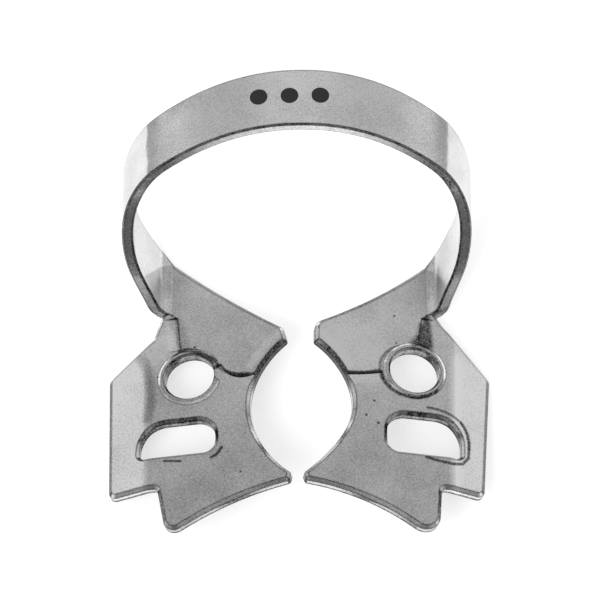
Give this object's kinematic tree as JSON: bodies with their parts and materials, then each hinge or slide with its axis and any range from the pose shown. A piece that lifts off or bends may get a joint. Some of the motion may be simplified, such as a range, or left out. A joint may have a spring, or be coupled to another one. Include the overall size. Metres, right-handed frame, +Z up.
{
  "type": "rubber dam clamp",
  "caption": "Bowed spring clamp bent from one steel sheet, with curved jaws for a back tooth, tool holes and slots in the side wings.",
  "frame": {"origin": "centre of the bounding box at its lowest level, in the pose the clamp rests in on a table", "axes": "+X across the jaws, +Y from the jaw toes towards the back of the bow, +Z up"},
  "size_m": [0.0264, 0.032, 0.012],
  "materials": {
    "steel": "polished stainless spring steel with a fine satin grain"
  },
  "bodies": {
    "root": {"clamp_spring": "steel"}
  },
  "joints": []
}
